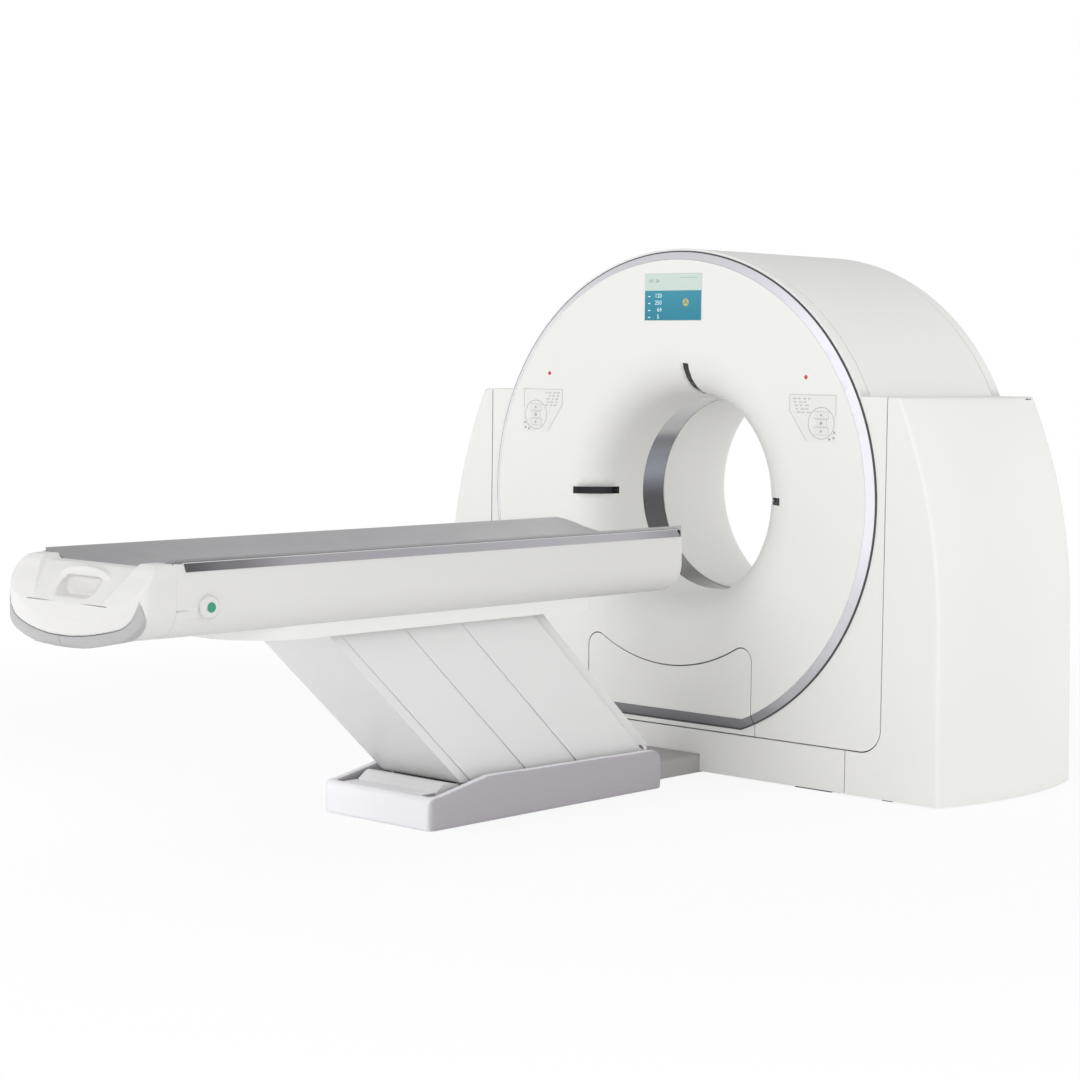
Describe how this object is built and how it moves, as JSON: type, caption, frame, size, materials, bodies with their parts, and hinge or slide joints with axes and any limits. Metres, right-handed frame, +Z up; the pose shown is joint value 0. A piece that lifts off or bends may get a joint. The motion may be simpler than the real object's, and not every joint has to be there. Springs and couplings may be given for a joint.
{
  "type": "ct scanner",
  "caption": "CT scanner: upright ring gantry with a rotating X-ray frame inside its covers, and a patient table on a parallelogram lift with a sliding cradle.",
  "frame": {"origin": "on the floor, straight below the isocentre of the scan plane", "axes": "+Z up, +Y along the bore from the table to the gantry's rear, +X to the right seen from the table"},
  "size_m": [2.3878, 3.507, 1.839],
  "materials": {
    "tower_white": "semi-gloss",
    "frame_white": "semi-gloss",
    "trim_silver": "satin",
    "disc_white": "semi-gloss",
    "dome_white": "semi-gloss",
    "rear_white": "semi-gloss",
    "bore_grey": "satin",
    "screen": "glossy",
    "panel": "satin",
    "key": "satin",
    "lamp_red": "glossy",
    "laser_dark": "glossy",
    "frame_steel": "satin",
    "bearing_steel": "ground",
    "rotor_alloy": "machined",
    "slip_ring_brass": "polished",
    "brush_holder": "matte",
    "tube_housing": "satin",
    "collimator_iron": "matte",
    "detector_case": "anodised",
    "generator_case": "satin",
    "exchanger_case": "satin",
    "counterweight_iron": "matte",
    "belt_rubber": "matte",
    "pulley_steel": "turned",
    "motor_case": "painted",
    "electronics_case": "satin",
    "duct_grey": "satin",
    "tray_grey": "satin",
    "table_steel": "satin",
    "actuator_case": "satin",
    "rod_steel": "ground",
    "lift_white": "satin",
    "rail_alloy": "anodised",
    "table_white": "semi-gloss",
    "strip_grey": "satin",
    "fairing_white": "semi-gloss",
    "bumper_grey": "matte",
    "button_green": "glossy",
    "cradle_grey": "satin"
  },
  "bodies": {
    "gantry": {"right_tower_cover": "tower_white", "left_tower_cover": "tower_white", "front_frame_cover": "frame_white", "front_trim_ring": "trim_silver", "front_disc_cover": "disc_white", "front_access_cover": "disc_white", "plinth_covers": "tower_white", "dome_cover": "dome_white", "rear_cover": "rear_white", "bore_window": "bore_grey", "display_screen": "screen", "left_control_panel": "panel", "right_control_panel": "panel", "indicator_lamps": "lamp_red", "laser_windows": "laser_dark", "gantry_base_frame": "frame_steel", "stator_frame": "frame_steel", "main_bearing": "bearing_steel", "brush_block": "brush_holder", "drive_belt": "belt_rubber", "drive_motor": "motor_case", "tower_electronics": "electronics_case", "cable_duct": "duct_grey", "table_base_tray": "tray_grey", "table_base_frame": "table_steel"},
    "rotor": {"rotor_drum": "rotor_alloy", "slip_ring": "slip_ring_brass", "xray_tube": "tube_housing", "collimator": "collimator_iron", "detector_array": "detector_case", "high_voltage_generator": "generator_case", "heat_exchanger": "exchanger_case", "counterweights": "counterweight_iron"},
    "motor_pulley": {"motor_pulley": "pulley_steel"},
    "front_arms": {"front_lift_arms": "table_steel", "lift_slats_front": "lift_white"},
    "rear_arms": {"rear_lift_arms": "table_steel", "lift_slats_rear": "lift_white"},
    "front_cover": {"front_lift_cover": "lift_white"},
    "middle_slats": {"lift_slats_middle": "lift_white"},
    "rear_cover_planks": {"rear_lift_cover": "lift_white"},
    "actuator_housing": {"actuator_housing": "actuator_case"},
    "actuator_rod": {"actuator_rod": "rod_steel"},
    "table_top": {"upper_frame": "table_steel", "cradle_rails": "rail_alloy", "table_body_shell": "table_white", "side_trims": "strip_grey", "fairing": "fairing_white", "foot_end_cap": "table_white", "foot_bumper": "bumper_grey"},
    "cradle": {"cradle": "cradle_grey"},
    "green_button": {"green_button": "button_green"},
    "left_upper_key": {"left_upper_key": "key"},
    "left_middle_key": {"left_middle_key": "key"},
    "left_lower_key": {"left_lower_key": "key"},
    "right_upper_key": {"right_upper_key": "key"},
    "right_middle_key": {"right_middle_key": "key"},
    "right_lower_key": {"right_lower_key": "key"}
  },
  "joints": [
    {"name": "rotor_spin", "type": "hinge", "parent": "gantry", "child": "rotor", "pos_m": [0, 0.1, 0.971], "axis": [0, 1, 0], "continuous": true},
    {"name": "motor_spin", "type": "hinge", "parent": "gantry", "child": "motor_pulley", "pos_m": [0.6, 0.1, 0.24], "axis": [0, 1, 0], "continuous": true},
    {"name": "table_lift", "type": "hinge", "parent": "gantry", "child": "front_arms", "pos_m": [0, -1.38, 0.13], "axis": [-1, 0, 0], "range_deg": [-30, 0]},
    {"name": "rear_arms_follow", "type": "hinge", "parent": "gantry", "child": "rear_arms", "pos_m": [0, -0.8, 0.13], "axis": [-1, 0, 0], "range_deg": [-30, 0]},
    {"name": "front_cover_follow", "type": "hinge", "parent": "gantry", "child": "front_cover", "pos_m": [0, -1.54, 0.13], "axis": [-1, 0, 0], "range_deg": [-30, 0]},
    {"name": "middle_slats_follow", "type": "hinge", "parent": "gantry", "child": "middle_slats", "pos_m": [0, -1.135, 0.13], "axis": [-1, 0, 0], "range_deg": [-30, 0]},
    {"name": "rear_cover_follow", "type": "hinge", "parent": "gantry", "child": "rear_cover_planks", "pos_m": [0, -0.648, 0.13], "axis": [-1, 0, 0], "range_deg": [-30, 0]},
    {"name": "table_level", "type": "hinge", "parent": "front_arms", "child": "table_top", "pos_m": [0, -1.97418, 0.665], "axis": [-1, 0, 0], "range_deg": [0, 30]},
    {"name": "actuator_tilt", "type": "hinge", "parent": "gantry", "child": "actuator_housing", "pos_m": [0, -0.74, 0.07], "axis": [-1, 0, 0], "range_deg": [-1.4, 0]},
    {"name": "rod_slide", "type": "slide", "parent": "actuator_housing", "child": "actuator_rod", "axis": [0, -0.965, 0.2621], "range_m": [0, 0.056]},
    {"name": "cradle_slide", "type": "slide", "parent": "table_top", "child": "cradle", "axis": [0, 1, 0], "range_m": [0, 1.7]},
    {"name": "green_button_press", "type": "slide", "parent": "table_top", "child": "green_button", "axis": [-1, 0, 0], "range_m": [0, 0.004], "stiffness_N_per_m": 600, "springref_m": -0.002},
    {"name": "left_upper_key_press", "type": "slide", "parent": "gantry", "child": "left_upper_key", "axis": [0, 1, 0], "range_m": [0, 0.001], "stiffness_N_per_m": 1500, "springref_m": -0.001},
    {"name": "left_middle_key_press", "type": "slide", "parent": "gantry", "child": "left_middle_key", "axis": [0, 1, 0], "range_m": [0, 0.001], "stiffness_N_per_m": 1500, "springref_m": -0.001},
    {"name": "left_lower_key_press", "type": "slide", "parent": "gantry", "child": "left_lower_key", "axis": [0, 1, 0], "range_m": [0, 0.001], "stiffness_N_per_m": 1500, "springref_m": -0.001},
    {"name": "right_upper_key_press", "type": "slide", "parent": "gantry", "child": "right_upper_key", "axis": [0, 1, 0], "range_m": [0, 0.001], "stiffness_N_per_m": 1500, "springref_m": -0.001},
    {"name": "right_middle_key_press", "type": "slide", "parent": "gantry", "child": "right_middle_key", "axis": [0, 1, 0], "range_m": [0, 0.001], "stiffness_N_per_m": 1500, "springref_m": -0.001},
    {"name": "right_lower_key_press", "type": "slide", "parent": "gantry", "child": "right_lower_key", "axis": [0, 1, 0], "range_m": [0, 0.001], "stiffness_N_per_m": 1500, "springref_m": -0.001}
  ],
  "couplings": [
    {"joint": "motor_spin", "follows": "rotor_spin", "ratio": 12.833},
    {"joint": "rear_arms_follow", "follows": "table_lift", "ratio": 1},
    {"joint": "front_cover_follow", "follows": "table_lift", "ratio": 1},
    {"joint": "middle_slats_follow", "follows": "table_lift", "ratio": 1},
    {"joint": "rear_cover_follow", "follows": "table_lift", "ratio": 1},
    {"joint": "table_level", "follows": "table_lift", "ratio": -1},
    {"joint": "actuator_tilt", "follows": "table_lift", "ratio": 0.0437},
    {"joint": "rod_slide", "follows": "table_lift", "m_per_rad": -0.1058}
  ]
}
